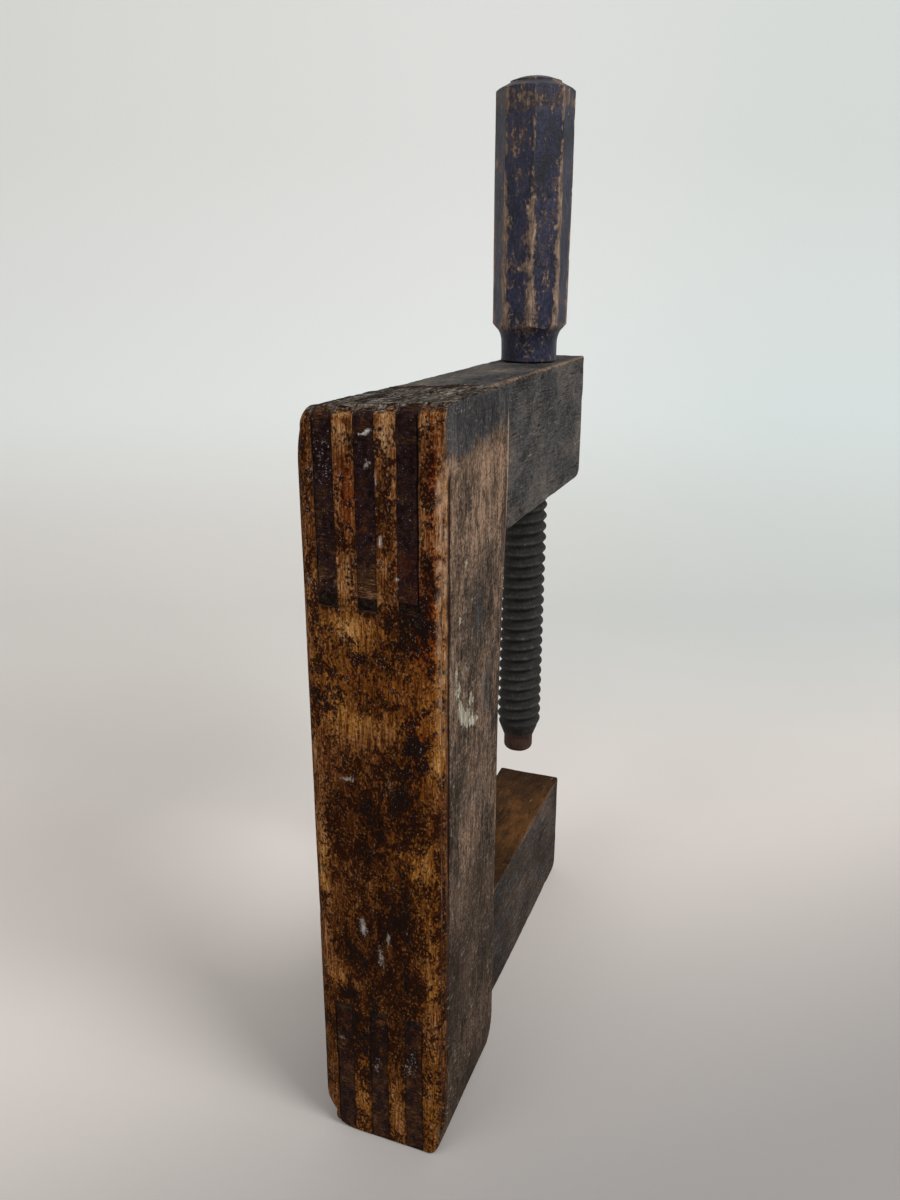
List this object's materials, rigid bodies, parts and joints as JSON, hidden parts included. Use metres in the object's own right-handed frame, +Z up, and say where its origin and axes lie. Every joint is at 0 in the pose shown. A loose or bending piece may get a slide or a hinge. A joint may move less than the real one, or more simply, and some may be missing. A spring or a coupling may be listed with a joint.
{
  "type": "wooden screw clamp",
  "caption": "Upright wooden C-shaped clamp: thick post, comb-jointed arms, and a turned wooden screw with an octagonal handle through the upper arm.",
  "frame": {"origin": "under the middle of the whole clamp, on the surface it stands on", "axes": "+X from the post's back face towards the arm ends, +Z up along the screw"},
  "size_m": [0.253, 0.06, 0.4587],
  "materials": {
    "post_wood": "worn varnish over amber wood with dark stains",
    "upper_arm_wood": "grimy charcoal-stained wood with worn tan arrises",
    "lower_arm_wood": "dark stained wood, bare orange-brown on top",
    "screw_wood": "blackened turned wood",
    "shoe_wood": "bare reddish-brown turned wood",
    "handle_paint": "worn dark blue paint over wood"
  },
  "bodies": {
    "frame": {"post": "post_wood", "upper_arm": "upper_arm_wood", "lower_arm": "lower_arm_wood"},
    "shoe": {"screw_shoe": "shoe_wood"},
    "spindle": {"screw": "screw_wood", "handle": "handle_paint"}
  },
  "joints": [
    {"name": "screw_travel", "type": "slide", "parent": "frame", "child": "shoe", "axis": [0, 0, 1], "range_m": [0, 0.1364]},
    {"name": "screw_turn", "type": "hinge", "parent": "shoe", "child": "spindle", "pos_m": [0.0785, 0.00275, 0.107], "axis": [0, 0, 1], "range_deg": [0, 7920]}
  ],
  "couplings": [
    {"joint": "screw_travel", "follows": "screw_turn", "m_per_rad": 0.00098676}
  ]
}
